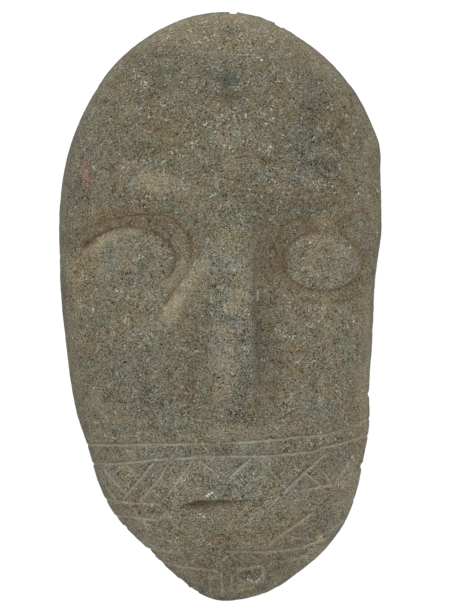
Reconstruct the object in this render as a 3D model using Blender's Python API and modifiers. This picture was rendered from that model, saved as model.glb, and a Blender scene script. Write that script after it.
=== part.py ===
# A stone effigy: one egg-shaped boulder, carved on its front with a face and bands of cut lines.
# It lies on its back with the face up. Units are metres, and +Z is up.
# +Y runs from the chin to the crown, and +X to the right of someone who looks at the face.

import math
from collections import namedtuple

import bmesh
import bpy
import numpy as np
from mathutils import Vector, noise

# Size of the boulder. Its depth is before the flat is cut, and the face's share of that depth is what stands
# above the boulder's waist.
STONE_LENGTH = 0.360
STONE_WIDTH = 0.1985
STONE_DEPTH = 0.126
FACE_SHARE = 0.555
REST_CUT = 0.003
HALF_LENGTH = STONE_LENGTH / 2
HALF_WIDTH = STONE_WIDTH / 2
FACE_RISE = STONE_DEPTH * FACE_SHARE
BACK_DROP = STONE_DEPTH - FACE_RISE

# How square the boulder's cross-sections are: 2 is an ellipse, and more is squarer
FACE_SQUARENESS = 2.6
BACK_SQUARENESS = 2.25

# Fullness of each side along the stone, from the crown at 1 to the chin at -1, against a plain ellipse
LEFT_FULLNESS = (
    (1.0, 1.20), (0.91, 1.19), (0.83, 1.205), (0.71, 1.185), (0.55, 1.155), (0.39, 1.11), (0.28, 1.075),
    (0.18, 1.04), (0.0, 1.01), (-0.15, 0.995), (-0.33, 0.99), (-0.5, 0.97), (-0.62, 0.98), (-0.72, 0.955),
    (-0.78, 0.89), (-0.86, 0.79), (-0.94, 0.72), (-1.0, 0.70),
)
RIGHT_FULLNESS = (
    (1.0, 1.20), (0.95, 1.10), (0.87, 1.135), (0.74, 1.17), (0.63, 1.155), (0.55, 1.14), (0.45, 1.075),
    (0.35, 1.03), (0.25, 1.0), (0.15, 0.955), (0.05, 0.925), (-0.13, 0.915), (-0.29, 0.93), (-0.4, 0.97),
    (-0.55, 0.995), (-0.65, 1.035), (-0.75, 1.08), (-0.85, 1.10), (-0.94, 1.10), (-1.0, 1.18),
)
FACE_FULLNESS = (
    (1.0, 1.12), (0.7, 1.10), (0.45, 1.03), (0.0, 0.98), (-0.45, 1.0), (-0.75, 1.0), (-1.0, 0.92),
)
BACK_FULLNESS = ((1.0, 1.0), (0.5, 1.0), (0.0, 1.0), (-0.5, 0.97), (-1.0, 0.85))

# Slow swells and dips of the water-worn surface
SWELL_HEIGHT = 0.0016
SWELL_LENGTH = 0.075

# Detail of the mesh, first while it is carved and then as it is kept
SPHERE_LEVEL = 6
CARVING_VOXEL = 0.0011
KEPT_TRIANGLES = 9400

# Carving is placed by shares of the half width and half length: (0, 0) is the middle of the face
Oval = namedtuple("Oval", "u v half_u half_v")
LEFT_SOCKET = Oval(-0.56, 0.165, 0.45, 0.200)
RIGHT_SOCKET = Oval(0.55, 0.165, 0.43, 0.200)
MUZZLE = Oval(-0.01, -0.655, 0.46, 0.165)
FOREHEAD_DIMPLE = Oval(0.006, 0.776, 0.075, 0.041)

# How far up a surface has to face before forms and cuts begin to show on it, and before they show in full
FORMS_FADE = (0.05, 0.45)
CUTS_FADE = (-0.30, 0.30)

# A socket's rim is a share of its reach. Below its middle it opens into the cheek: where that starts and is
# complete are shares of its half height. The muzzle and the dimple run out a little past their ovals.
SOCKET_DEPTH = 0.0052
SOCKET_RIM = 0.50
SOCKET_OPENS = (0.1, 1.0)
MUZZLE_HEIGHT = 0.0035
DIMPLE_DEPTH = 0.0016
SOFT_REACH = 1.2

# Each eye is a low boss. A ring is cut round the part of it that spreads from one direction, in degrees
# from +X towards +Y, and a fainter lid line runs outside the ring. The rest of the boss fades into the cheek.
# An edge is where the boss starts to fall and where it has fallen, as shares of its reach. An arc's fade is
# where a ring or lid line starts to fade and where it has faded, as shares of its spread.
Eye = namedtuple("Eye", "boss ring_middle ring_spread lid_middle lid_spread")
EYES = (
    Eye(Oval(-0.612, 0.158, 0.296, 0.108), ring_middle=68, ring_spread=112, lid_middle=58, lid_spread=100),
    Eye(Oval(0.614, 0.151, 0.257, 0.101), ring_middle=238, ring_spread=150, lid_middle=235, lid_spread=85),
)
EYE_HEIGHT = 0.0031
STEEP_EDGE = (0.60, 1.03)
SOFT_EDGE = (0.25, 1.40)
ARC_FADE = (0.75, 1.15)
RING_DEPTH = 0.0015
RING_WIDTH = 0.0040
LID_GAP = 0.0080
LID_DEPTH = 0.0008

# The nose: a long rounded ridge that widens from between the brows to its tip. Its crest reaches out to a share
# of its half width, further on the right. Its rise, its end and the rounding of its tip are shares of its
# length, down from the root.
NOSE_AXIS = 0.030
NOSE_ROOT = 0.30
NOSE_TIP = -0.392
NOSE_ROOT_HALF_WIDTH = 0.0150
NOSE_TIP_HALF_WIDTH = 0.0205
NOSE_HEIGHT = 0.0078
NOSE_RISE = (-0.20, 0.75)
NOSE_LEFT_CREST = 0.35
NOSE_RIGHT_CREST = 0.62
NOSE_END = 0.11
NOSE_TIP_ROUNDING = 0.05

# Soft hollows and folds of the face: the points that each follows, and how wide and how high it is beside a
# plain fold. Each fades towards both ends: none of it is left, and all of it is there, at these shares of its
# length from the end.
FOLD_HALF_WIDTH = 0.0100
FOLD_HEIGHT = 0.0020
FOLD_FADE = (-0.1, 0.25)
Fold = namedtuple("Fold", "points width height")
FOLDS = (
    Fold(((-0.20, 0.06), (-0.19, -0.06), (-0.15, -0.36)), 1.4, -1.0),
    Fold(((0.27, 0.26), (0.27, 0.10), (0.25, -0.38)), 1.6, -1.2),
    Fold(((-0.11, 0.180), (-0.250, 0.052), (-0.305, 0.003), (-0.400, -0.072)), 1.05, 1.2),
    Fold(((-0.86, 0.00), (-0.66, -0.05), (-0.46, -0.06)), 1.7, 0.6),
    Fold(((-0.25, -0.731), (-0.13, -0.769), (0.03, -0.786), (0.16, -0.776), (0.26, -0.748)), 0.62, -0.55),
)

# The flat floor of every cut groove, as a share of its width
GROOVE_FLOOR = 0.2

# The mouth: a slit that is widest left of the middle, at a share of the way along it, and never thinner than
# another share of its width
MOUTH = (
    (-0.300, -0.6735), (-0.157, -0.6605), (-0.069, -0.6565), (0.098, -0.653), (0.240, -0.652),
)
MOUTH_WIDEST = 0.28
MOUTH_THINNEST = 0.3
MOUTH_WIDTH = 0.0046
MOUTH_DEPTH = 0.0034

# Cut lines that cross the lower face, from left to right. The ends outside the face run on over its edge.
LINE_WIDTH = 0.0042
LINE_DEPTH = 0.0013
CROSS_LINES = (
    ((-0.95, -0.475), (-0.47, -0.471), (-0.04, -0.467), (0.26, -0.457), (0.46, -0.444), (0.60, -0.442),
     (0.95, -0.372)),
    ((-0.92, -0.541), (-0.64, -0.535), (-0.46, -0.524), (-0.11, -0.511), (0.31, -0.511), (0.55, -0.493),
     (0.71, -0.474), (0.95, -0.408)),
    ((-0.85, -0.654), (-0.56, -0.673), (-0.40, -0.672)),
    ((0.39, -0.684), (0.58, -0.682), (0.79, -0.660)),
    ((-0.78, -0.714), (-0.53, -0.724), (-0.42, -0.728)),
    ((-0.58, -0.824), (-0.20, -0.837), (0.24, -0.852), (0.31, -0.837), (0.65, -0.790)),
    ((-0.44, -0.870), (-0.20, -0.898), (-0.06, -0.902)),
)
# Slanting strokes, each from its upper end to its lower end
STROKE_WIDTH = 0.0031
STROKE_DEPTH = 0.0010
STROKES = (
    ((-0.76, -0.556), (-0.62, -0.639)),
    ((-0.78, -0.589), (-0.69, -0.655)),
    ((-0.61, -0.544), (-0.54, -0.577)),
    ((-0.45, -0.534), (-0.63, -0.650)),
    ((-0.32, -0.505), (-0.42, -0.594), (-0.53, -0.658)),
    ((-0.21, -0.527), (-0.35, -0.634)),
    ((-0.17, -0.524), (-0.09, -0.554)),
    ((0.15, -0.522), (0.03, -0.578)),
    ((0.18, -0.502), (0.37, -0.616)),
    ((0.62, -0.505), (0.50, -0.561), (0.36, -0.634)),
    ((0.50, -0.570), (0.59, -0.609)),
    ((0.57, -0.543), (0.65, -0.597)),
    ((0.77, -0.530), (0.69, -0.589)),
    ((0.66, -0.607), (0.46, -0.626)),
    ((0.54, -0.706), (0.27, -0.810)),
    ((0.54, -0.796), (0.36, -0.777)),
    ((0.74, -0.731), (0.64, -0.772)),
)
# Short upright cuts under the lowest line, each a place across and a top and bottom
CHIN_CUTS = ((-0.10, -0.906, -0.967), (-0.025, -0.922, -0.980), (0.033, -0.901, -0.967))
CHIN_FRAME = Oval(0.150, -0.913, 0.075, 0.019)

STONE_COLOUR = (0.175, 0.158, 0.112, 1.0)
STONE_ROUGHNESS = 0.92
SHARP_ANGLE = math.radians(50)


def curve_through(points, at):
    """Values of a smooth curve through (place, value) points, read at every place in at."""
    places, values = np.array(sorted(points)).T
    slopes = np.gradient(values, places)
    left = np.clip(np.searchsorted(places, at) - 1, 0, len(places) - 2)
    span = places[left + 1] - places[left]
    share = np.clip((at - places[left]) / span, 0.0, 1.0)
    ease = share * share * (3 - 2 * share)
    leave = share * (1 - share) ** 2 * span * slopes[left]
    arrive = share * share * (share - 1) * span * slopes[left + 1]
    return values[left] * (1 - ease) + values[left + 1] * ease + leave + arrive


def smooth_step(low, high, value):
    """0 below low, 1 above high, and a smooth rise between them."""
    share = np.clip((value - low) / (high - low), 0.0, 1.0)
    return share * share * (3 - 2 * share)


def boulder_points(directions):
    """Moves points of a unit sphere to the boulder's surface, with its back on the ground plane's side."""
    across, along, up = directions.T
    along = np.clip(along, -1.0, 1.0)
    ring = np.sqrt(1 - along * along)
    turn = np.arctan2(up, across)
    cosine, sine = np.abs(np.cos(turn)), np.abs(np.sin(turn))
    power = np.where(up > 0, FACE_SQUARENESS, BACK_SQUARENESS)
    reach = ring * (cosine**power + sine**power) ** (-1 / power)
    width = np.where(across < 0, curve_through(LEFT_FULLNESS, along), curve_through(RIGHT_FULLNESS, along))
    front = FACE_RISE * curve_through(FACE_FULLNESS, along)
    back = BACK_DROP * curve_through(BACK_FULLNESS, along)
    x = HALF_WIDTH * width * reach * np.cos(turn)
    y = HALF_LENGTH * along
    z = np.where(up > 0, front, back) * reach * np.sin(turn)
    return np.stack([x, y, z], axis=1)


def swell(points):
    """Slow unevenness of the boulder, in metres, at each point."""
    return np.array([SWELL_HEIGHT * noise.noise(Vector(p) / SWELL_LENGTH) for p in points])


def oval_reach(x, y, oval):
    """How far out each point lies in an oval, where 1 is its edge."""
    across = (x / HALF_WIDTH - oval.u) / oval.half_u
    along = (y / HALF_LENGTH - oval.v) / oval.half_v
    return np.hypot(across, along)


def distance_from_oval(x, y, oval):
    """Distance of each point from an oval's edge, measured towards its centre, in metres."""
    reach = np.maximum(oval_reach(x, y, oval), 1e-6)
    from_centre = np.hypot(x - oval.u * HALF_WIDTH, y - oval.v * HALF_LENGTH)
    return from_centre * (1 - 1 / reach)


def distance_from_line(x, y, points):
    """Distance of each point from a line through (u, v) points, and its share of the way along that line."""
    corners = np.array(points) * (HALF_WIDTH, HALF_LENGTH)
    lengths = np.linalg.norm(np.diff(corners, axis=0), axis=1)
    starts = np.concatenate([[0.0], np.cumsum(lengths)])
    nearest = np.full(x.shape, np.inf)
    share = np.zeros(x.shape)
    for (x0, y0), (x1, y1), length, start in zip(corners, corners[1:], lengths, starts):
        along = np.clip(((x - x0) * (x1 - x0) + (y - y0) * (y1 - y0)) / length**2, 0.0, 1.0)
        distance = np.hypot(x - x0 - along * (x1 - x0), y - y0 - along * (y1 - y0))
        closer = distance < nearest
        nearest = np.where(closer, distance, nearest)
        share = np.where(closer, (start + along * length) / starts[-1], share)
    return nearest, share


def groove(distance, width, depth):
    """A smooth round-edged groove with a narrow floor, as a height below zero within half its width."""
    return -depth * (1 - smooth_step(GROOVE_FLOOR * width / 2, width / 2, np.abs(distance)))


def within_arc(x, y, oval, middle, spread):
    """1 where a point lies in the part of an oval that spreads round one direction, fading to 0 beyond it."""
    turn = np.degrees(np.arctan2(y - oval.v * HALF_LENGTH, x - oval.u * HALF_WIDTH))
    from_middle = np.abs((turn - middle + 180) % 360 - 180)
    return 1 - smooth_step(*ARC_FADE, from_middle / spread)


def eye_relief(x, y, eye):
    """An eye: its boss, steep where the ring is cut and soft where it isn't, its ring and its lid line."""
    reach = oval_reach(x, y, eye.boss)
    ringed = within_arc(x, y, eye.boss, eye.ring_middle, eye.ring_spread)
    falls, fallen = (soft + (steep - soft) * ringed for soft, steep in zip(SOFT_EDGE, STEEP_EDGE))
    dome = 1 - smooth_step(falls, fallen, reach)
    from_edge = distance_from_oval(x, y, eye.boss)
    ring = groove(from_edge, RING_WIDTH, RING_DEPTH) * ringed
    lid = groove(from_edge - LID_GAP, RING_WIDTH, LID_DEPTH)
    lid *= within_arc(x, y, eye.boss, eye.lid_middle, eye.lid_spread)
    return EYE_HEIGHT * dome + np.minimum(ring, lid)


def socket_relief(x, y, socket):
    """The hollow round an eye. Its rim is steepest under the brow and runs out into the cheek below."""
    below = smooth_step(*SOCKET_OPENS, (socket.v - y / HALF_LENGTH) / socket.half_v)
    rim = SOCKET_RIM + (1 - SOCKET_RIM) * below
    return -SOCKET_DEPTH * (1 - smooth_step(1 - rim, 1.0, oval_reach(x, y, socket)))


def nose_relief(x, y):
    """The long ridge of the nose, with a rounded crest, sloping sides and a blunt tip."""
    down = (NOSE_ROOT - y / HALF_LENGTH) / (NOSE_ROOT - NOSE_TIP)
    share = np.clip(down, 0.0, 1.0)
    half_width = NOSE_ROOT_HALF_WIDTH + (NOSE_TIP_HALF_WIDTH - NOSE_ROOT_HALF_WIDTH) * share
    across = (x - NOSE_AXIS * HALF_WIDTH) / half_width
    crest = np.where(across < 0, NOSE_LEFT_CREST, NOSE_RIGHT_CREST)
    side = 1 - smooth_step(crest, 1.0, np.abs(across))
    tip = 1 - smooth_step(1 - NOSE_END, 1 + NOSE_END, down + NOSE_TIP_ROUNDING * across**2)
    return NOSE_HEIGHT * smooth_step(*NOSE_RISE, down) * side * tip


def soft_forms(x, y):
    """Height of everything that is modelled rather than cut: sockets, eyes, nose, folds and muzzle."""
    height = nose_relief(x, y)
    height += socket_relief(x, y, LEFT_SOCKET) + socket_relief(x, y, RIGHT_SOCKET)
    for eye in EYES:
        height += eye_relief(x, y, eye)
    for fold in FOLDS:
        distance, share = distance_from_line(x, y, fold.points)
        ends = smooth_step(*FOLD_FADE, np.minimum(share, 1 - share))
        side = 1 - smooth_step(0.0, fold.width * FOLD_HALF_WIDTH, distance)
        height += fold.height * FOLD_HEIGHT * ends * side
    height += MUZZLE_HEIGHT * (1 - smooth_step(0.0, SOFT_REACH, oval_reach(x, y, MUZZLE)))
    height -= DIMPLE_DEPTH * (1 - smooth_step(0.0, SOFT_REACH, oval_reach(x, y, FOREHEAD_DIMPLE)))
    return height


def box_outline(box):
    """The corners of a box given as an oval's centre and half sizes, back to the first."""
    left, right = box.u - box.half_u, box.u + box.half_u
    bottom, top = box.v - box.half_v, box.v + box.half_v
    return (left, top), (right, top), (right, bottom), (left, bottom), (left, top)


def cut_lines(x, y):
    """Depth of the mouth and of every cut line. Where two cross, the deeper one counts."""
    distance, share = distance_from_line(x, y, MOUTH)
    before = np.maximum(1 - share / MOUTH_WIDEST, 0)
    after = np.maximum((share - MOUTH_WIDEST) / (1 - MOUTH_WIDEST), 0)
    fullness = np.maximum(np.sqrt(1 - before**2) * (1 - after), MOUTH_THINNEST)
    deepest = groove(distance, MOUTH_WIDTH * fullness, MOUTH_DEPTH * fullness)
    for line in CROSS_LINES:
        distance, _ = distance_from_line(x, y, line)
        deepest = np.minimum(deepest, groove(distance, LINE_WIDTH, LINE_DEPTH))
    upright_cuts = [((u, top), (u, bottom)) for u, top, bottom in CHIN_CUTS]
    for line in (*STROKES, *upright_cuts, box_outline(CHIN_FRAME)):
        distance, _ = distance_from_line(x, y, line)
        deepest = np.minimum(deepest, groove(distance, STROKE_WIDTH, STROKE_DEPTH))
    return deepest


def read_points(mesh):
    """Vertex positions and vertex normals of a mesh, as two arrays."""
    points = np.empty(len(mesh.vertices) * 3)
    mesh.vertices.foreach_get("co", points)
    normals = np.empty(len(mesh.vertices) * 3)
    mesh.vertex_normals.foreach_get("vector", normals)
    return points.reshape(-1, 3), normals.reshape(-1, 3)


def write_points(mesh, points):
    """Moves a mesh's vertices to these positions."""
    mesh.vertices.foreach_set("co", points.ravel())
    mesh.update()


def with_modifier(name, mesh, kind, **settings):
    """A new mesh: this one with one modifier's result."""
    holder = bpy.data.objects.new(name, mesh)
    bpy.context.collection.objects.link(holder)
    modifier = holder.modifiers.new(kind.title(), kind)
    for key, value in settings.items():
        setattr(modifier, key, value)
    graph = bpy.context.evaluated_depsgraph_get()
    made = bpy.data.meshes.new_from_object(holder.evaluated_get(graph))
    bpy.data.objects.remove(holder)
    bpy.data.meshes.remove(mesh)
    return made


def make_boulder():
    """The uncarved boulder: a sphere drawn out to the stone's outline, with slow swells."""
    mesh = bpy.data.meshes.new("boulder")
    shape = bmesh.new()
    bmesh.ops.create_icosphere(shape, subdivisions=SPHERE_LEVEL, radius=1.0)
    shape.to_mesh(mesh)
    shape.free()
    points, _ = read_points(mesh)
    write_points(mesh, boulder_points(points))
    points, normals = read_points(mesh)
    write_points(mesh, points + normals * swell(points)[:, None])
    return mesh


def carve(mesh):
    """Raises and cuts the face. The forms fade out at its edge, and the cut lines run on just over it."""
    points, normals = read_points(mesh)
    x, y, _ = points.T
    facing = normals[:, 2]
    forms = soft_forms(x, y) * smooth_step(*FORMS_FADE, facing)
    cuts = cut_lines(x, y) * smooth_step(*CUTS_FADE, facing)
    write_points(mesh, points + normals * (forms + cuts)[:, None])


def cut_flat(mesh):
    """Gives the back its small flat, and sets the stone down on it."""
    shape = bmesh.new()
    shape.from_mesh(mesh)
    rest_height = min(vertex.co.z for vertex in shape.verts) + REST_CUT
    everything = [*shape.verts, *shape.edges, *shape.faces]
    bmesh.ops.bisect_plane(
        shape, geom=everything, plane_co=(0, 0, rest_height), plane_no=(0, 0, -1), clear_outer=True
    )
    rim = [edge for edge in shape.edges if edge.is_boundary]
    bmesh.ops.edgeloop_fill(shape, edges=rim)
    bmesh.ops.recalc_face_normals(shape, faces=shape.faces)
    bmesh.ops.translate(shape, verts=shape.verts, vec=(0, 0, -rest_height))
    shape.to_mesh(mesh)
    shape.free()
    mesh.update()


def stone_material():
    """The plain look of the weathered, brown-grey stone."""
    material = bpy.data.materials.new("weathered_stone")
    material.use_nodes = True
    shader = material.node_tree.nodes["Principled BSDF"]
    shader.inputs["Base Color"].default_value = STONE_COLOUR
    shader.inputs["Roughness"].default_value = STONE_ROUGHNESS
    shader.inputs["Metallic"].default_value = 0.0
    material.diffuse_color = STONE_COLOUR
    return material


def main():
    for old in list(bpy.data.objects):
        bpy.data.objects.remove(old)
    mesh = with_modifier("boulder", make_boulder(), "REMESH", mode="VOXEL", voxel_size=CARVING_VOXEL)
    carve(mesh)
    mesh.calc_loop_triangles()
    kept_share = KEPT_TRIANGLES / len(mesh.loop_triangles)
    mesh = with_modifier("boulder", mesh, "DECIMATE", ratio=kept_share, use_collapse_triangulate=True)
    cut_flat(mesh)
    mesh.name = "carved_stone"
    mesh.materials.clear()
    mesh.materials.append(stone_material())
    mesh.shade_smooth()
    mesh.set_sharp_from_angle(angle=SHARP_ANGLE)
    effigy = bpy.data.collections.new("Stone effigy")
    bpy.context.scene.collection.children.link(effigy)
    effigy.objects.link(bpy.data.objects.new("carved_stone", mesh))


if __name__ == "__main__":
    main()
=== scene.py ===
# %% [markdown]
# # A face carved on a boulder
# This lesson finishes a stone effigy: an egg-shaped river boulder that somebody carved with a face in low
# relief. The frame holds it as one plain solid at its real size, lying on its back. Here it gets the fine
# relief and the grain that a viewer sees from a step away. The whole effigy is one stone, so it stays one
# piece.

# %% Load the frame
from collections import namedtuple

import bmesh
import bpy
import numpy as np
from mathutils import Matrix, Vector, noise


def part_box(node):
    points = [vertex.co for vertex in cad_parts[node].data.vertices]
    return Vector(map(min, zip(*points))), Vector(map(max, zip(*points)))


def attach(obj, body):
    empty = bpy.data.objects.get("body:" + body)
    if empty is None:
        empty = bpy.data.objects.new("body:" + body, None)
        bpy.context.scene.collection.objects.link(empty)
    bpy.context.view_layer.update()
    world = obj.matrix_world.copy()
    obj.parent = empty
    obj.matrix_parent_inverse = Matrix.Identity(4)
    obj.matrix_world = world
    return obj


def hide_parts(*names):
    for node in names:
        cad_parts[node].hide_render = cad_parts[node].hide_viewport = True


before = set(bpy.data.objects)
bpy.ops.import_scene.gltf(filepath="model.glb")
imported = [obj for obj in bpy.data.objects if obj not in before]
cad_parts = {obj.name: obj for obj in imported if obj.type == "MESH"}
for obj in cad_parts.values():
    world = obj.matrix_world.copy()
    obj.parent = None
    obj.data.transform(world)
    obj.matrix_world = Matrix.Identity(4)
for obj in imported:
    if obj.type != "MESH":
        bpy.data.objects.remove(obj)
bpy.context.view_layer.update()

bpy.ops.object.select_all(action="DESELECT")

# %% [markdown]
# ## Sizes from the frame
# Carvers lay a face out by eye, in proportion to the stone. So the places below are shares: u runs from -1
# at the left edge to 1 at the right, and v from -1 at the chin to 1 at the crown. The two half sizes come
# from the box of the frame's solid, so the carving always lands where the solid has it. Depths and widths of
# cuts are real sizes, in metres, because they come from the tool and not from the stone.

# %% Measure the solid
low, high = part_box("carved_stone")
HALF_WIDTH = (high.x - low.x) / 2
HALF_LENGTH = (high.y - low.y) / 2
STONE_HEIGHT = high.z
print(f"The stone is {2 * HALF_WIDTH:.3f} m wide, {2 * HALF_LENGTH:.3f} m long and {STONE_HEIGHT:.3f} m high")

# %% [markdown]
# ## The camera
# The effigy is seen straight from the front. It lies on its back, so the camera looks straight down. The
# outline hardly narrows with depth, which tells of a long lens far away. A real camera has perspective, so
# this one has it too, with a lens long enough to stay that flat. Its distance follows from how many pixels
# the stone fills.

# %% Point the camera straight down
PICTURE_WIDTH, PICTURE_HEIGHT = 450, 611
STONE_PIXELS = 588.5
MIDDLE_PIXEL = (226.0, 306.0)
WAIST_HEIGHT = 0.0545
LENS = 600.0
pixel = 2 * HALF_LENGTH / STONE_PIXELS
camera = bpy.data.objects.new("camera", bpy.data.cameras.new("camera"))
bpy.context.scene.collection.objects.link(camera)
bpy.context.scene.camera = camera
camera.data.lens = LENS
distance = PICTURE_HEIGHT * pixel * LENS / camera.data.sensor_width
camera.location.x = (PICTURE_WIDTH / 2 - MIDDLE_PIXEL[0]) * pixel
camera.location.y = (MIDDLE_PIXEL[1] - PICTURE_HEIGHT / 2) * pixel
camera.location.z = WAIST_HEIGHT + distance
camera.data.clip_end = 2 * distance
print(f"One pixel is {1000 * pixel:.3f} mm, and the camera is {distance:.2f} m away")

# %% [markdown]
# ## The boulder
# A river boulder is close to an ellipsoid, but fuller here and flatter there. One way is to push a cube
# about with Subdivision Surface until it looks right. Another is to start from a sphere, which is smooth
# already, and to say how full each side is along its length. An ico sphere is chosen because its triangles
# are even and it has no poles. It is resized in edit mode: the whole of it to the stone's width, its upper
# half to the rise of the face, and its lower half to the drop of the back.

# %% Add the sphere and resize its halves
FACE_RISE = 0.545 * STONE_HEIGHT
BACK_DROP = 0.437 * STONE_HEIGHT
SPHERE_LEVEL = 7


def select_where(stone, wanted):
    """In edit mode, selects the vertices whose place passes a test."""
    shape = bmesh.from_edit_mesh(stone.data)
    for vertex in shape.verts:
        vertex.select_set(wanted(vertex.co))
    shape.select_flush_mode()
    bmesh.update_edit_mesh(stone.data)


bpy.ops.mesh.primitive_ico_sphere_add(subdivisions=SPHERE_LEVEL, radius=HALF_LENGTH)
stone = bpy.context.object
stone.name = "effigy_stone"
middle = (0, 0, 0)
bpy.ops.object.mode_set(mode="EDIT")
bpy.ops.mesh.select_all(action="SELECT")
bpy.ops.transform.resize(value=(HALF_WIDTH / HALF_LENGTH, 1, 1), center_override=middle)
select_where(stone, lambda place: place.z > 0)
bpy.ops.transform.resize(value=(1, 1, FACE_RISE / HALF_LENGTH), center_override=middle)
select_where(stone, lambda place: place.z < 0)
bpy.ops.transform.resize(value=(1, 1, BACK_DROP / HALF_LENGTH), center_override=middle)
bpy.ops.object.mode_set(mode="OBJECT")
print("Sphere resized to", [round(side, 4) for side in stone.dimensions])

# %% [markdown]
# The fullness of each side is a short table of places and shares, with a smooth curve through them. A
# sculptor would drag the surface with a brush. A curve is chosen because it keeps the outline clean and can
# be read.

# %% Read and write vertices as arrays
def read_points(mesh):
    """Places of a mesh's vertices, one row each."""
    points = np.empty(len(mesh.vertices) * 3)
    mesh.vertices.foreach_get("co", points)
    return points.reshape(-1, 3)


def read_normals(mesh):
    """The way that the surface faces at each vertex, one row each."""
    normals = np.empty(len(mesh.vertices) * 3)
    mesh.vertex_normals.foreach_get("vector", normals)
    return normals.reshape(-1, 3)


def write_points(mesh, points):
    """Moves a mesh's vertices to these places."""
    mesh.vertices.foreach_set("co", points.ravel())
    mesh.update()


# %% A smooth curve and a smooth step
def curve_through(points, at):
    """Values of a smooth curve through (place, value) points, read at every place in at."""
    places, values = np.array(sorted(points)).T
    slopes = np.gradient(values, places)
    left = np.clip(np.searchsorted(places, at) - 1, 0, len(places) - 2)
    span = places[left + 1] - places[left]
    share = np.clip((at - places[left]) / span, 0.0, 1.0)
    ease = share * share * (3 - 2 * share)
    leave = share * (1 - share) ** 2 * span * slopes[left]
    arrive = share * share * (share - 1) * span * slopes[left + 1]
    return values[left] * (1 - ease) + values[left + 1] * ease + leave + arrive


def smooth_step(low_end, high_end, value):
    """0 below the low end, 1 above the high end, and a smooth rise between them."""
    share = np.clip((value - low_end) / (high_end - low_end), 0.0, 1.0)
    return share * share * (3 - 2 * share)


def fade(low_end, high_end, value):
    """1 below the low end, 0 above the high end, and a smooth fall between them."""
    return 1 - smooth_step(low_end, high_end, value)


# %% Fill out the sides
LEFT_FULLNESS = (
    (1.0, 1.2), (0.91, 1.19), (0.83, 1.205), (0.71, 1.185), (0.55, 1.155), (0.39, 1.11), (0.28, 1.075),
    (0.18, 1.04), (0.0, 1.01), (-0.15, 0.995), (-0.33, 0.99), (-0.5, 0.97), (-0.62, 0.98), (-0.72, 0.955),
    (-0.78, 0.89), (-0.86, 0.79), (-0.94, 0.72), (-1.0, 0.7),
)
RIGHT_FULLNESS = (
    (1.0, 1.2), (0.95, 1.1), (0.87, 1.135), (0.74, 1.17), (0.63, 1.155), (0.55, 1.14), (0.45, 1.075),
    (0.35, 1.03), (0.25, 1.0), (0.15, 0.955), (0.05, 0.925), (-0.13, 0.915), (-0.29, 0.93), (-0.4, 0.97),
    (-0.55, 0.995), (-0.65, 1.035), (-0.75, 1.08), (-0.85, 1.1), (-0.94, 1.1), (-1.0, 1.18),
)
FACE_FULLNESS = (
    (1.0, 1.12), (0.7, 1.1), (0.45, 1.03), (0.0, 0.98), (-0.45, 1.0), (-0.75, 1.0), (-1.0, 0.92),
)
BACK_FULLNESS = ((1.0, 1.0), (0.5, 1.0), (0.0, 1.0), (-0.5, 0.97), (-1.0, 0.85))
FACE_SQUARENESS = 2.6
BACK_SQUARENESS = 2.25

x, y, z = read_points(stone.data).T
along = np.clip(y / HALF_LENGTH, -1.0, 1.0)
rise = np.where(z > 0, FACE_RISE, BACK_DROP)
turn = np.arctan2(z / rise, x / HALF_WIDTH)
cosine, sine = np.abs(np.cos(turn)), np.abs(np.sin(turn))
power = np.where(z > 0, FACE_SQUARENESS, BACK_SQUARENESS)
reach = np.sqrt(1 - along**2) * (cosine**power + sine**power) ** (-1 / power)
side = np.where(x < 0, curve_through(LEFT_FULLNESS, along), curve_through(RIGHT_FULLNESS, along))
depth = np.where(z > 0, curve_through(FACE_FULLNESS, along), curve_through(BACK_FULLNESS, along))
x = HALF_WIDTH * side * reach * np.cos(turn)
z = rise * depth * reach * np.sin(turn)
write_points(stone.data, np.stack([x, y, z], axis=1))
print(f"The boulder spans {x.min():.4f} to {x.max():.4f} m across")

# %% [markdown]
# Water never wears a stone evenly, so slow swells are added. Blender's noise gives a smooth random height at
# any point in space, and the surface moves by it along its own normals.

# %% Add slow swells
SWELL_HEIGHT = 0.0016
SWELL_LENGTH = 0.075


def random_height(points, length, seed=0.0):
    """A smooth random height from about -1 to 1 at each point, with bumps about this length across."""
    return np.array([noise.noise(place) for place in (points / length + seed).tolist()])


points = read_points(stone.data)
swell = SWELL_HEIGHT * random_height(points, SWELL_LENGTH)
write_points(stone.data, points + read_normals(stone.data) * swell[:, None])
print(f"Swells from {1000 * swell.min():.2f} to {1000 * swell.max():.2f} mm")

# %% [markdown]
# ## A skin fine enough to carve
# The stretched sphere has wide triangles on the face and narrow ones at the ends. Carving wants even ones. A
# voxel Remesh builds the surface anew from little cubes of one size, so every part of the stone can hold a
# cut of the same fineness. Multires sculpting would do it too, but it keeps the stretched layout.

# %% Remesh the boulder
CARVING_VOXEL = 0.00055


def apply_modifier(piece, kind, **settings):
    """Adds one modifier to a piece with these settings, and applies it."""
    bpy.context.view_layer.objects.active = piece
    bpy.ops.object.modifier_add(type=kind)
    modifier = piece.modifiers[-1]
    for name, value in settings.items():
        setattr(modifier, name, value)
    bpy.ops.object.modifier_apply(modifier=modifier.name)


apply_modifier(stone, "REMESH", mode="VOXEL", voxel_size=CARVING_VOXEL)
boulder = read_points(stone.data)
normals = read_normals(stone.data)
x, y, _ = boulder.T
facing = normals[:, 2]
print(f"The boulder has {len(boulder)} points to carve")

# %% [markdown]
# ## Where the carving reaches
# The face was carved from the front, so its forms fade as the stone turns away at the sides. The cut lines
# run on a little over the edge. How far up a surface faces says how much of each it gets. All heights are
# gathered in one array, relief, and the stone moves only once, at the end, so that no cut tilts the next
# one.

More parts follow.
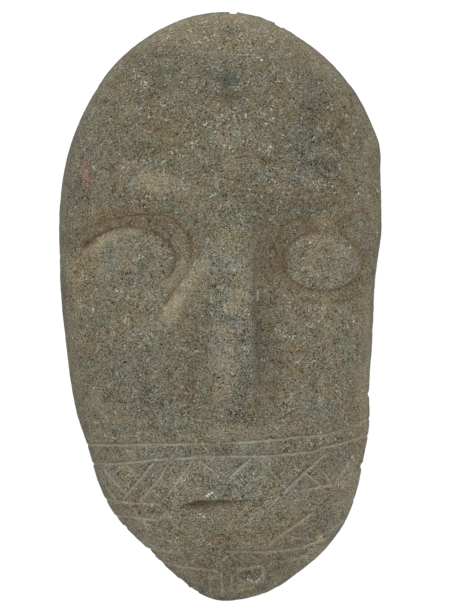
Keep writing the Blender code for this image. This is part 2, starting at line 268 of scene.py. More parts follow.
# %% Fade towards the sides
FORMS_FADE = (0.05, 0.45)
CUTS_FADE = (-0.3, 0.3)
forms_reach = smooth_step(*FORMS_FADE, facing)
cuts_reach = smooth_step(*CUTS_FADE, facing)
relief = np.zeros(len(boulder))
print(f"{np.mean(forms_reach > 0.5):.0%} of the points lie on the face")

# %% [markdown]
# Paint and dirt have to follow the carving too, and so do the painted light and shade. Each finish that sits
# in one place is a mask: a number from 0 to 1 at every point, kept as an attribute of the mesh, which the
# material reads later. Painting a picture on a UV map would do as well, but a mask comes from the same sums
# as the carving, so the two can't slip apart. Two masks are no colours: coarse makes the speckle stronger,
# and glint makes the white grains brighter. One mask darkens the stone, for dirt and for painted shade in
# hollows, cuts and at the edges, and another makes it paler, for wear and for painted light.

# %% Start the masks
MASK_NAMES = (
    "dust_and_highlight", "stain", "crust_and_highlight", "wear_and_light", "shade_and_dirt", "cool", "warm", "ochre", "red", "white", "coarse", "glint",
)
masks = {name: np.zeros(len(boulder)) for name in MASK_NAMES}
kept_fine = np.zeros(len(boulder), dtype=bool)
KEPT_REACH = 0.0024


def lay(mask, amount):
    """Adds a finish to its mask, where the stronger of the two counts."""
    masks[mask] = np.maximum(masks[mask], amount)


def keep_fine(wanted):
    """Marks points of the front whose mesh has to stay as fine as it is."""
    np.logical_or(kept_fine, wanted & (cuts_reach > 0), out=kept_fine)


# %% [markdown]
# ## Sockets and soft forms
# The eyes lie in wide hollows, steepest under the brow and running out into the cheek below. Each hollow is
# an oval with a soft rim. The muzzle and a dimple high on the forehead are ovals too.

# %% Sink the sockets
Oval = namedtuple("Oval", "u v half_u half_v")
SOCKETS = (Oval(-0.56, 0.165, 0.45, 0.2), Oval(0.55, 0.165, 0.43, 0.2))
SOCKET_DEPTH = 0.0052
SOCKET_RIM = 0.5
SOCKET_OPENS = (0.1, 1.0)


def oval_reach(oval):
    """How far out each point of the stone lies in an oval, where 1 is its edge."""
    return np.hypot((x / HALF_WIDTH - oval.u) / oval.half_u, (y / HALF_LENGTH - oval.v) / oval.half_v)


for socket in SOCKETS:
    below = smooth_step(*SOCKET_OPENS, (socket.v - y / HALF_LENGTH) / socket.half_v)
    rim = SOCKET_RIM + (1 - SOCKET_RIM) * below
    relief -= SOCKET_DEPTH * fade(1 - rim, 1.0, oval_reach(socket))
print(f"The sockets are {-1000 * relief.min():.1f} mm deep")

# %% Raise the muzzle and press the dimple
MUZZLE = Oval(-0.01, -0.655, 0.46, 0.165)
MUZZLE_HEIGHT = 0.0035
MUZZLE_WEAR_AND_LIGHT = 0.7
DIMPLE = Oval(0.006, 0.764, 0.075, 0.041)
DIMPLE_DEPTH = 0.0016
SOFT_REACH = 1.2
relief += MUZZLE_HEIGHT * fade(0.0, SOFT_REACH, oval_reach(MUZZLE))
relief -= DIMPLE_DEPTH * fade(0.0, SOFT_REACH, oval_reach(DIMPLE))
# Wear and painted light make the raised muzzle paler, and painted shade darkens the pressed dimple.
lay("wear_and_light", MUZZLE_WEAR_AND_LIGHT * fade(0.5, 1.3, oval_reach(MUZZLE)))
lay("shade_and_dirt", fade(0.3, 1.15, oval_reach(DIMPLE)))

# %% [markdown]
# ## The nose
# A long bar that widens from between the brows to a blunt tip. Its section is a smooth step on each side of
# a narrow crest, and the rise along its length is another. One formula for the whole of it keeps the sides
# fair.

# %% Raise the nose
NOSE_AXIS = 0.03
NOSE_ROOT = 0.3
NOSE_TIP = -0.392
NOSE_HALF_WIDTHS = (0.015, 0.0205)
NOSE_HEIGHT = 0.0078
NOSE_RISE = (-0.2, 0.75)
NOSE_LEFT_CREST, NOSE_RIGHT_CREST = 0.35, 0.62
NOSE_END = 0.11
NOSE_TIP_ROUNDING = 0.05
NOSE_WEAR_AND_LIGHT = 0.74
down = (NOSE_ROOT - y / HALF_LENGTH) / (NOSE_ROOT - NOSE_TIP)
nose_half_width = np.interp(down, (0, 1), NOSE_HALF_WIDTHS)
across = (x - NOSE_AXIS * HALF_WIDTH) / nose_half_width
nose_crest = np.where(across < 0, NOSE_LEFT_CREST, NOSE_RIGHT_CREST)
nose_side = fade(nose_crest, 1.0, np.abs(across))
nose_tip = fade(1 - NOSE_END, 1 + NOSE_END, down + NOSE_TIP_ROUNDING * across**2)
nose = smooth_step(*NOSE_RISE, down) * nose_side * nose_tip
relief += NOSE_HEIGHT * nose
# The crest is painted paler, part wear and part painted highlight where the light falls on it.
nose_worn_and_lit = smooth_step(-0.88, -0.72, across) * fade(0.68, 0.92, across)
nose_worn_and_lit = NOSE_WEAR_AND_LIGHT * nose_worn_and_lit * nose_tip * smooth_step(-0.1, 0.2, down)
lay("wear_and_light", nose_worn_and_lit * (1 - 0.6 * smooth_step(0.5, 0.9, down)))
print(f"The nose stands {1000 * NOSE_HEIGHT * nose.max():.1f} mm high")

# %% [markdown]
# ## The eyes
# Each eye is a low boss in its socket. A ring is cut round part of it, and there the boss has a steep edge.
# The rest fades into the cheek. A fainter lid line runs outside the ring. The two eyes were cut by hand and
# differ, so each has its own ring and lid, given by the direction of their middle and how far they spread to
# both sides of it.

# %% Raise the bosses and cut their rings
Eye = namedtuple("Eye", "boss ring_middle ring_spread lid_middle lid_spread")
EYES = (
    Eye(Oval(-0.612, 0.158, 0.296, 0.108), ring_middle=69, ring_spread=108, lid_middle=58, lid_spread=100),
    Eye(Oval(0.614, 0.151, 0.257, 0.101), ring_middle=238, ring_spread=150, lid_middle=235, lid_spread=85),
)
EYE_HEIGHT = 0.0031
STEEP_EDGE = (0.6, 1.03)
SOFT_EDGE = (0.25, 1.4)
ARC_FADE = (0.75, 1.15)
RING_DEPTH = 0.0009
RING_WIDTH = 0.0022
LID_GAP = 0.008
LID_DEPTH = 0.0006
RING_STAIN, RING_HALO, RING_SHADE = 0.8, 0.4, 0.32
LID_STAIN = 0.3
EYE_COOL, EYE_PAINTED_LIGHT = 0.2, 0.65
GROOVE_FLOOR = 0.2


def groove(from_line, width, depth):
    """A round-edged groove with a narrow floor, as a height below zero within half its width."""
    return -depth * fade(GROOVE_FLOOR * width / 2, width / 2, np.abs(from_line))


def band(from_line, width):
    """1 along the middle of a line, and 0 beyond half its width."""
    return -groove(from_line, width, 1.0)


def within_arc(oval, middle_turn, spread):
    """1 in the part of an oval that spreads round one direction, in degrees from +X to +Y, and 0 beyond."""
    direction = np.degrees(np.arctan2(y - oval.v * HALF_LENGTH, x - oval.u * HALF_WIDTH))
    from_middle = np.abs((direction - middle_turn + 180) % 360 - 180)
    return fade(*ARC_FADE, from_middle / spread)


for eye in EYES:
    reach = oval_reach(eye.boss)
    ringed = within_arc(eye.boss, eye.ring_middle, eye.ring_spread)
    falls, fallen = (soft + (steep - soft) * ringed for soft, steep in zip(SOFT_EDGE, STEEP_EDGE))
    dome = fade(falls, fallen, reach)
    from_centre = np.hypot(x - eye.boss.u * HALF_WIDTH, y - eye.boss.v * HALF_LENGTH)
    from_edge = from_centre * (1 - 1 / np.maximum(reach, 1e-6))
    ring = groove(from_edge, RING_WIDTH, RING_DEPTH) * ringed
    lidded = within_arc(eye.boss, eye.lid_middle, eye.lid_spread)
    lid = groove(from_edge - LID_GAP, RING_WIDTH, LID_DEPTH) * lidded
    relief += EYE_HEIGHT * dome + np.minimum(ring, lid)
    keep_fine((np.abs(from_edge) < KEPT_REACH) & (ringed > 0.1))
    # Brown stain lies in and round the ring, painted shade darkens the ring, and painted light makes the boss
    # paler towards its edge against the shade of its dome.
    lay("stain", RING_STAIN * band(from_edge, RING_WIDTH) * ringed)
    lay("stain", RING_HALO * band(from_edge - RING_WIDTH, 3.0 * RING_WIDTH) * ringed)
    lay("shade_and_dirt", RING_SHADE * band(from_edge, 0.8 * RING_WIDTH) * ringed)
    lay("stain", LID_STAIN * band(from_edge - LID_GAP, 1.2 * RING_WIDTH) * lidded)
    lay("cool", EYE_COOL * fade(0.5, 1.0, reach))
    lay("wear_and_light", EYE_PAINTED_LIGHT * fade(0.86, 0.99, reach))

# %% [markdown]
# ## Folds and hollows
# Beside the nose the stone is hollowed, a fold runs from the nose's root down under the left eye, and a
# shallow crease lies under the mouth. Each follows a few points, with its own width and height, and fades at
# both ends.

# %% Shape the folds
FOLD_HALF_WIDTH = 0.01
FOLD_HEIGHT = 0.002
FOLD_FADE = (-0.1, 0.25)
FOLD_CRUST_AND_HIGHLIGHT, FOLD_CRUST_AND_HIGHLIGHT_GAIN = 0.58, 0.3
Fold = namedtuple("Fold", "points width height")
CHEEK_FOLD = Fold(
    ((-0.11, 0.18), (-0.185, 0.118), (-0.25, 0.052), (-0.305, 0.003), (-0.35, -0.036), (-0.4, -0.072)),
    1.05, 1.2)
FOLDS = (
    Fold(((-0.2, 0.06), (-0.19, -0.06), (-0.15, -0.36)), 1.4, -1.0),
    Fold(((0.27, 0.26), (0.27, 0.1), (0.25, -0.38)), 1.6, -1.2),
    CHEEK_FOLD,
    Fold(((-0.86, 0.0), (-0.66, -0.05), (-0.46, -0.06)), 1.7, 0.6),
    Fold(((-0.25, -0.731), (-0.13, -0.769), (0.03, -0.786), (0.16, -0.776), (0.26, -0.748)), 0.62, -0.55),
)


def distance_from_line(points, at_x, at_y):
    """Distance of each place from a line through (u, v) points, and its share of the way along that line."""
    corners = np.array(points) * (HALF_WIDTH, HALF_LENGTH)
    lengths = np.linalg.norm(np.diff(corners, axis=0), axis=1)
    starts = np.concatenate([[0.0], np.cumsum(lengths)])
    nearest = np.full(at_x.shape, np.inf)
    share = np.zeros(at_x.shape)
    for (x0, y0), (x1, y1), length, start in zip(corners, corners[1:], lengths, starts):
        on = np.clip(((at_x - x0) * (x1 - x0) + (at_y - y0) * (y1 - y0)) / length**2, 0.0, 1.0)
        away = np.hypot(at_x - x0 - on * (x1 - x0), at_y - y0 - on * (y1 - y0))
        closer = away < nearest
        nearest = np.where(closer, away, nearest)
        share = np.where(closer, (start + on * length) / starts[-1], share)
    return nearest, share


for fold in FOLDS:
    away, share = distance_from_line(fold.points, x, y)
    ends = smooth_step(*FOLD_FADE, np.minimum(share, 1 - share))
    bump = ends * fade(0.0, fold.width * FOLD_HALF_WIDTH, away)
    relief += fold.height * FOLD_HEIGHT * bump
    # The top of the cheek fold gets tan crust and a painted highlight, growing down the fold.
    if fold is CHEEK_FOLD:
        crust_and_highlight = FOLD_CRUST_AND_HIGHLIGHT + FOLD_CRUST_AND_HIGHLIGHT_GAIN * smooth_step(0.2, 0.5, share)
        lay("crust_and_highlight", crust_and_highlight * smooth_step(0.25, 0.8, bump))

relief *= forms_reach
print(f"The forms reach from {1000 * relief.min():.1f} to {1000 * relief.max():.1f} mm")

# %% [markdown]
# ## The cut lines
# The mouth is one slit. Bands of lines cross the jaw, with slanting strokes between them, all cut freehand
# with a pointed tool. A Boolean with thin wedges would cut them, but it leaves edges that are too clean.
# Here each groove is a depth that falls off with distance, and the distance is measured from places that
# wander a little, so the lines waver and their edges crumble as hand-cut ones do.

# %% Let the cuts waver
WAVER = ((0.00028, 0.009), (0.00018, 0.0028))
WAVER_SEEDS = (11.3, 47.1)
PRESSURE_CHANGE = 0.5
PRESSURE_LENGTH = 0.016
PRESSURE_SEED = 5.7
wander_x, wander_y = (
    sum(size * random_height(boulder, length, seed) for size, length in WAVER) for seed in WAVER_SEEDS)
cut_x, cut_y = x + wander_x, y + wander_y
pressure = 1 + PRESSURE_CHANGE * random_height(boulder, PRESSURE_LENGTH, PRESSURE_SEED)
print(f"Cuts waver by up to {1000 * np.abs(wander_y).max():.2f} mm")

# %% Cut the mouth
MOUTH = (
    (-0.3, -0.6735), (-0.24, -0.668), (-0.157, -0.6605), (-0.069, -0.6565), (0.009, -0.6545),
    (0.098, -0.653), (0.173, -0.653), (0.24, -0.652),
)
MOUTH_WIDEST = 0.28
MOUTH_THINNEST = 0.15
MOUTH_WIDTH = 0.0046
MOUTH_DEPTH = 0.003
LIP_DROP = 0.0012
LIP_WIDTH = 0.0052
LIP_DEPTH = 0.0014
LIP_STAIN, LIP_SHADE = 0.95, 1.2
away, share = distance_from_line(MOUTH, cut_x, cut_y)
before = np.maximum(1 - share / MOUTH_WIDEST, 0)
after = np.maximum((share - MOUTH_WIDEST) / (1 - MOUTH_WIDEST), 0)
fullness = np.maximum((1 - before**2) * (1 - after), MOUTH_THINNEST)
cuts = groove(away, MOUTH_WIDTH * fullness, MOUTH_DEPTH * fullness)
slope, _ = distance_from_line(MOUTH, cut_x, cut_y + LIP_DROP)
cuts = np.minimum(cuts, groove(slope, LIP_WIDTH * fullness, LIP_DEPTH * fullness))
keep_fine(away < 1.5 * KEPT_REACH)
mouth_start = smooth_step(-0.15, 0.22, share)
mouth_end = smooth_step(0.4, 0.8, share)
on_lip = band(slope, LIP_WIDTH * fullness)
# Brown stain lies on the lower lip, and painted shade darkens the lip's slope and the slit.
lay("stain", LIP_STAIN * on_lip * fade(0.5, 1.0, share))
lay("shade_and_dirt", LIP_SHADE * on_lip * mouth_start * (1 - mouth_end))
lay("shade_and_dirt", band(away, MOUTH_WIDTH * fullness) * mouth_start * (1 - 0.5 * mouth_end))

# %% Cut the lines across the jaw
LINE_WIDTH = 0.0033
LINE_DEPTH = 0.0012
LEAST_DEPTH = 0.3
Line = namedtuple("Line", "strength points")
CROSS_LINES = (
    Line(0.8, ((-0.95, -0.475), (-0.47, -0.471), (-0.04, -0.467), (0.26, -0.457), (0.46, -0.444),
               (0.6, -0.441), (0.68, -0.428), (0.76, -0.416), (0.95, -0.372))),
    Line(0.75, ((-0.92, -0.541), (-0.64, -0.535), (-0.46, -0.523), (-0.11, -0.51), (0.25, -0.51),
                (0.42, -0.501), (0.56, -0.494), (0.6, -0.481), (0.71, -0.469), (0.82, -0.451),
                (0.95, -0.435))),
    Line(0.65, ((-0.85, -0.653), (-0.56, -0.672), (-0.4, -0.671))),
    Line(0.3, ((0.39, -0.684), (0.58, -0.682), (0.79, -0.66))),
    Line(0.95, ((-0.78, -0.713), (-0.53, -0.723), (-0.42, -0.727))),
    Line(0.7, ((-0.58, -0.824), (-0.416, -0.834), (-0.28, -0.84))),
    Line(0.95, ((0.0, -0.834), (0.24, -0.838), (0.46, -0.826), (0.65, -0.79))),
    Line(0.85, ((-0.42, -0.872), (-0.305, -0.887), (-0.199, -0.894), (-0.057, -0.9))),
)
WORN_SPOTS = (
    Oval(-0.09, -0.466, 0.15, 0.014), Oval(0.78, -0.41, 0.18, 0.03), Oval(-0.35, -0.52, 0.05, 0.014),
)
WORN_LOSS = 0.6
LIGHT_WAY = (-0.38, 0.92)
GROOVE_LIFT = 0.0006
DUST_AND_HIGHLIGHT_LIFT = 0.00045
SHADE_LIFT = 0.0016
DUST_AND_HIGHLIGHT_REACH = (0.0002, 0.0012)
SHADE_REACH = (0.0003, 0.0016)
SOIL_REACH = (0.001, 0.0036)
LINE_SHADE, LINE_SOIL = 0.4, 0.22
worn = np.max([fade(0.6, 1.2, oval_reach(spot)) for spot in WORN_SPOTS], axis=0)


def cut_line(line, width, depth):
    """Cuts a line, with dust and a painted highlight on the wall that faces the light, painted shade on the
    other, and a little soil round it.
    """
    def away_from(lift):
        return distance_from_line(line.points, cut_x - lift * LIGHT_WAY[0], cut_y - lift * LIGHT_WAY[1])[0]

    away = away_from(GROOVE_LIFT)
    shown = line.strength * (1 - WORN_LOSS * worn)
    cut_depth = depth * pressure * (LEAST_DEPTH + (1 - LEAST_DEPTH) * shown)
    np.minimum(cuts, groove(away, width, cut_depth), out=cuts)
    keep_fine(away < KEPT_REACH)
    lay("dust_and_highlight", shown * fade(*DUST_AND_HIGHLIGHT_REACH, away_from(DUST_AND_HIGHLIGHT_LIFT)))
    lay("shade_and_dirt", LINE_SHADE * shown**2 * fade(*SHADE_REACH, away_from(SHADE_LIFT)))
    lay("stain", LINE_SOIL * shown * fade(*SOIL_REACH, away))


for line in CROSS_LINES:
    cut_line(line, LINE_WIDTH, LINE_DEPTH)

# %% Cut the slanting strokes
STROKE_WIDTH = 0.0027
STROKE_DEPTH = 0.001
STROKES = (
    Line(0.75, ((-0.755, -0.556), (-0.616, -0.639))),
    Line(0.7, ((-0.775, -0.589), (-0.685, -0.655))),
    Line(0.8, ((-0.606, -0.5428), (-0.536, -0.5758))),
    Line(1.0, ((-0.447, -0.534), (-0.626, -0.65))),
    Line(0.6, ((-0.318, -0.505), (-0.417, -0.594), (-0.526, -0.658))),
    Line(0.55, ((-0.209, -0.527), (-0.348, -0.634))),
    Line(0.8, ((-0.169, -0.5224), (-0.089, -0.5524))),
    Line(1.0, ((0.149, -0.5206), (0.03, -0.5766))),
    Line(0.5, ((0.179, -0.502), (0.367, -0.616))),
    Line(0.95, ((0.616, -0.5038), (0.496, -0.5598), (0.357, -0.6328))),
    Line(1.0, ((0.496, -0.5678), (0.586, -0.6068))),
    Line(1.0, ((0.566, -0.5408), (0.645, -0.5948))),
    Line(0.7, ((0.765, -0.5315), (0.685, -0.5905))),
    Line(0.7, ((0.655, -0.607), (0.457, -0.626))),
    Line(1.0, ((0.536, -0.7038), (0.268, -0.8078))),
    Line(0.6, ((0.536, -0.796), (0.357, -0.777))),
    Line(0.6, ((0.735, -0.731), (0.636, -0.772))),
)
for stroke in STROKES:
    cut_line(stroke, STROKE_WIDTH, STROKE_DEPTH)

# %% Cut the small marks on the chin
CHIN_CUTS = (
    Line(1.3, ((-0.103, -0.904), (-0.1, -0.973))),
    Line(1.1, ((-0.027, -0.908), (-0.025, -0.983))),
    Line(0.8, ((0.037, -0.912), (0.037, -0.946))),
    Line(0.9, ((0.074, -0.896), (0.155, -0.89), (0.223, -0.884))),
    Line(0.75, ((0.223, -0.884), (0.232, -0.915), (0.232, -0.939))),
    Line(0.65, ((0.232, -0.939), (0.111, -0.94), (0.074, -0.925), (0.074, -0.896))),
)
for cut in CHIN_CUTS:
    cut_line(cut, STROKE_WIDTH, STROKE_DEPTH)

# %% Scratch the faint lines
SCRATCH_WIDTH = 0.0022
SCRATCH_DEPTH = 0.0005
SCRATCHES = (
    Line(0.6, ((-0.563, -0.687), (-0.538, -0.718))),
    Line(0.6, ((-0.507, -0.731), (-0.477, -0.762))),
    Line(0.45, ((-0.471, -0.7245), (-0.433, -0.704), (-0.405, -0.721), (-0.358, -0.694), (-0.341, -0.714))),
    Line(0.6, ((0.495, -0.849), (0.383, -0.871))),
    Line(0.25, ((-0.334, -0.68), (-0.285, -0.663))),
    Line(0.4, ((0.68, -0.568), (0.643, -0.595))),
    Line(0.45, ((0.074, -0.966), (0.18, -0.959))),
)
for scratch in SCRATCHES:
    cut_line(scratch, SCRATCH_WIDTH, SCRATCH_DEPTH)

# %% Crease the lids and the chin
# Four creases are lid lines, and the first of them runs on down beside the cheek fold. One more leads up from
# the right eye, and a faint one lies under the mouth.
CREASE_WIDTH = 0.0024
CREASE_DEPTH = 0.0005
CREASE_HALO, CREASE_SHADE = 0.45, 0.4
CREASES = (
    Line(1.0, ((-0.927, 0.236), (-0.81, 0.276), (-0.736, 0.29), (-0.643, 0.302), (-0.563, 0.309),
               (-0.446, 0.309), (-0.365, 0.303), (-0.3, 0.281), (-0.232, 0.234), (-0.212, 0.173),
               (-0.237, 0.12), (-0.274, 0.084), (-0.35, 0.034), (-0.362, 0.006))),
    Line(0.35, ((0.458, 0.02), (0.619, 0.006), (0.81, 0.026))),
    Line(0.8, ((0.305, 0.2), (0.343, 0.26), (0.396, 0.285), (0.476, 0.296), (0.557, 0.293))),
    Line(0.5, ((0.69, 0.278), (0.77, 0.305), (0.84, 0.328))),
    Line(0.3, ((-0.13, -0.77), (0.03, -0.787), (0.17, -0.777), (0.28, -0.748), (0.35, -0.712))),
    Line(1.0, ((0.715, 0.25), (0.755, 0.238), (0.804, 0.211), (0.829, 0.19), (0.848, 0.167))),
)
for crease in CREASES:
    away, _ = distance_from_line(crease.points, cut_x, cut_y)
    np.minimum(cuts, groove(away, CREASE_WIDTH, CREASE_DEPTH), out=cuts)
    keep_fine(away < KEPT_REACH)
    # Each crease holds brown stain, with painted shade along its middle.
    lay("stain", crease.strength * band(away, CREASE_WIDTH))
    lay("stain", CREASE_HALO * crease.strength * band(away, 3 * CREASE_WIDTH))
    lay("shade_and_dirt", CREASE_SHADE * crease.strength * band(away, CREASE_WIDTH))

relief += cuts * cuts_reach
print(f"{len(CROSS_LINES)} lines and {len(STROKES)} strokes, {-1000 * cuts.min():.1f} mm at the deepest")

# %% [markdown]
# ## Dirt, wear, crust and painted light and shade
# Centuries of handling and burial left patches on the face, and paint stands in for some of the light and
# shade as well. High places are rubbed pale, and painted light makes some places paler where light falls on
# them. Hollows hold dark soil and painted shade, a tan crust and a painted highlight sit on the brows, and
# brown iron stain lies round the eyes. In some places blue-grey grains lie bare, and in others the stone has
# weathered warm. Each patch is a soft oval on one mask, named by its place. Where two overlap the stronger
# one counts, so their order doesn't matter.

# %% A way to lay soft patches
PATCH_EDGE = (0.35, 1.35)


def lay_patches(mask_name, patches):
    """Lays soft ovals on one mask, each given by its strength, its place (u, v) and its half sizes."""
    for strength, *oval in patches.values():
        lay(mask_name, strength * fade(*PATCH_EDGE, oval_reach(Oval(*oval))) * cuts_reach)
    print(f"{len(patches)} patches on the mask {mask_name}")


# %% Rub the high places pale and paint light where it falls
lay_patches("wear_and_light", {
    "crown rim": (0.6, 0.05, 0.94, 0.52, 0.105),
    "middle of the forehead": (0.6, 0.02, 0.59, 0.17, 0.15),
    "left cheek": (0.45, -0.56, -0.05, 0.34, 0.2),
    "jaw": (0.55, 0.05, -0.58, 0.95, 0.3),
    "right cheek": (0.4, 0.6, -0.15, 0.32, 0.25),
    "nose cream": (0.75, 0.05, 0.014, 0.105, 0.048),
    "nose cream below": (0.75, 0.012, -0.173, 0.093, 0.037),
    "upper lip": (1.0, -0.02, -0.595, 0.5, 0.09),
    "over the left brow": (0.4, -0.5, 0.405, 0.25, 0.055),
    "over the right brow": (0.4, 0.46, 0.4, 0.2, 0.06),
    "left of the chin": (0.55, -0.38, -0.8, 0.2, 0.06),
    "right of the chin's edge": (1.0, 0.553, -0.832, 0.126, 0.048),
    "nose cream in the middle": (0.75, -0.012, -0.088, 0.087, 0.024),
    "top of the right forehead": (0.4, 0.656, 0.735, 0.074, 0.075),
    "under the right forehead": (0.6, 0.551, 0.507, 0.099, 0.031),
    "left end of the left eye": (0.85, -0.928, 0.122, 0.087, 0.075),
    "low on the right edge": (0.5, 0.854, -0.405, 0.043, 0.085),
    "top of the left cheek": (0.75, -0.613, -0.054, 0.087, 0.044),
    "left of the left cheek": (0.6, -0.798, -0.293, 0.062, 0.024),
    "lower left of the nose": (0.65, -0.006, -0.262, 0.068, 0.027),
    "right eye": (0.9, 0.614, 0.151, 0.23, 0.088),
    "between the fold and the nose": (0.55, -0.13, 0.088, 0.186, 0.082),
    "under the left eye's end": (0.5, -0.86, 0.035, 0.07, 0.05),
    "left edge of the forehead": (0.4, -0.88, 0.62, 0.07, 0.1),
    "under the nose": (0.9, 0.0, -0.425, 0.32, 0.032),
    "left of the nose": (0.35, -0.125, -0.18, 0.05, 0.17),
})

# %% Grow the tan crust, with painted highlights on the brows and the crown
lay_patches("crust_and_highlight", {
    "left brow": (0.8, -0.445, 0.42, 0.15, 0.045),
    "left brow's end": (0.5, -0.23, 0.388, 0.12, 0.03),
    "right brow": (0.65, 0.64, 0.285, 0.075, 0.035),
    "upper fold": (0.58, -0.23, 0.075, 0.1, 0.08),
    "right edge of the cheek": (0.3, 0.88, -0.24, 0.08, 0.14),
    "right edge of the crown": (0.3, 0.48, 0.86, 0.22, 0.08),
    "nose cream at the tip": (0.45, -0.03, -0.27, 0.06, 0.05),
    "smooth film over the first line": (0.25, -0.65, -0.452, 0.07, 0.022),
    "lower right edge": (0.35, 0.76, -0.62, 0.06, 0.12),
    "corner of the left eye": (0.3, -0.37, 0.08, 0.05, 0.03),
    "right edge of the forehead": (0.4, 0.897, 0.558, 0.043, 0.054),
    "top of the crown": (0.6, 0.074, 0.98, 0.111, 0.031),
    "nose cream": (0.4, 0.056, 0.014, 0.093, 0.044),
    "nose cream in the middle": (0.4, -0.012, -0.088, 0.08, 0.024),
    "nose cream below": (0.4, 0.012, -0.177, 0.093, 0.041),
    "pale knot over the nose": (0.65, 0.254, 0.537, 0.037, 0.024),
    "second knot over the nose": (0.35, 0.149, 0.463, 0.037, 0.027),
    "right brow's end": (0.35, 0.526, 0.408, 0.05, 0.014),
    "left brow's start": (0.4, -0.606, 0.469, 0.056, 0.017),
    "upper right edge of the cheek": (0.4, 0.885, -0.08, 0.05, 0.11),
})

# %% Settle the dark soil and paint shade under the brows, beside the nose and along the edges
lay_patches("shade_and_dirt", {
    "right forehead": (0.28, 0.54, 0.6, 0.3, 0.2),
    "left temple": (0.34, -0.84, 0.38, 0.22, 0.08),
    "under the left brow": (0.13, -0.4, 0.29, 0.36, 0.06),
    "under the right brow": (0.36, 0.36, 0.34, 0.28, 0.09),
    "right of the nose": (0.25, 0.26, -0.05, 0.13, 0.42),
    "below the cheek fold": (0.13, -0.48, -0.25, 0.34, 0.16),
    "below the dimple": (0.8, 0.01, 0.705, 0.12, 0.035),
    "nose tip": (0.64, 0.09, -0.375, 0.09, 0.035),
    "middle of the chin": (0.6, 0.093, -0.872, 0.1, 0.018),
    "right of the chin": (0.25, 0.42, -0.8, 0.24, 0.09),
    "band between the upper lines": (0.3, 0.0, -0.49, 0.6, 0.024),
    "lower chin": (0.3, 0.05, -0.87, 0.36, 0.09),
    "left band of the right eye": (0.58, 0.345, 0.155, 0.055, 0.06),
    "left eye": (0.59, -0.49, 0.145, 0.06, 0.035),
    "left end of the left lid": (0.6, -0.865, 0.208, 0.055, 0.022),
    "inside the chin's frame": (0.75, 0.148, -0.911, 0.075, 0.019),
    "top of the right eye": (0.3, 0.545, 0.262, 0.065, 0.02),
    "nose above its tip": (0.22, 0.09, -0.27, 0.08, 0.11),
    "nose root": (0.35, 0.105, 0.17, 0.08, 0.041),
    "left of the nose's middle": (0.3, -0.439, -0.16, 0.043, 0.054),
    "right of the dimple": (0.28, 0.322, 0.741, 0.087, 0.061),
    "middle of the forehead": (0.35, -0.13, 0.544, 0.062, 0.048),
    "left over the lines": (0.3, -0.47, -0.463, 0.087, 0.031),
    "left of the nose's tip": (0.3, -0.037, -0.371, 0.062, 0.031),
    "left edge": (2.0, -1.012, -0.02, 0.035, 0.17),
    "left edge over the lines": (1.4, -0.885, -0.439, 0.043, 0.061),
    "right edge": (1.8, 0.925, -0.03, 0.035, 0.09),
    "right end of the chin's foot": (0.5, 0.21, -0.966, 0.056, 0.024),
    "left brow's outer spot": (0.45, -0.718, 0.473, 0.037, 0.01),
    "left brow's upper spot": (0.45, -0.569, 0.435, 0.031, 0.01),
    "under the left temple": (0.5, -0.823, 0.384, 0.062, 0.017),
    "right brow's spot": (0.9, 0.439, 0.415, 0.043, 0.01),
    "left of the crown": (0.5, -0.606, 0.864, 0.136, 0.051),
    "foot of the chin": (2.0, 0.06, -1.0, 0.24, 0.011),
    "lower edge of the mouth": (0.3, -0.06, -0.671, 0.15, 0.01),
    "left of the forehead": (0.15, -0.59, 0.63, 0.22, 0.12),
    "under the crown's rim": (0.2, -0.33, 0.8, 0.16, 0.09),
    "inner right brow": (0.2, 0.32, 0.41, 0.07, 0.05),
    "left of the mouth": (0.18, -0.37, -0.56, 0.1, 0.07),
})

# %% Stain with iron
lay_patches("stain", {
    "over the left eye": (0.6, -0.54, 0.28, 0.34, 0.045),
    "left end of the left ring": (0.9, -0.865, 0.208, 0.06, 0.028),
    "left of the right eye": (0.8, 0.345, 0.15, 0.07, 0.1),
    "beside the right eye": (0.5, 0.26, 0.2, 0.14, 0.18),
    "over the right eye": (0.6, 0.52, 0.27, 0.14, 0.03),
    "below the dimple": (0.35, 0.01, 0.7, 0.14, 0.05),
    "top of the right eye": (0.95, 0.545, 0.262, 0.075, 0.022),
    "rust left of the nose's tip": (0.45, -0.26, -0.285, 0.07, 0.03),
    "rust right of the nose's tip": (0.4, 0.26, -0.3, 0.06, 0.05),
    "under the right brow": (0.4, 0.272, 0.34, 0.093, 0.027),
    "foot of the right eye": (0.7, 0.565, 0.056, 0.11, 0.012),
    "lower edge of the mouth": (0.35, -0.06, -0.673, 0.17, 0.013),
    "foot of the chin": (0.8, 0.06, -1.0, 0.24, 0.011),
})

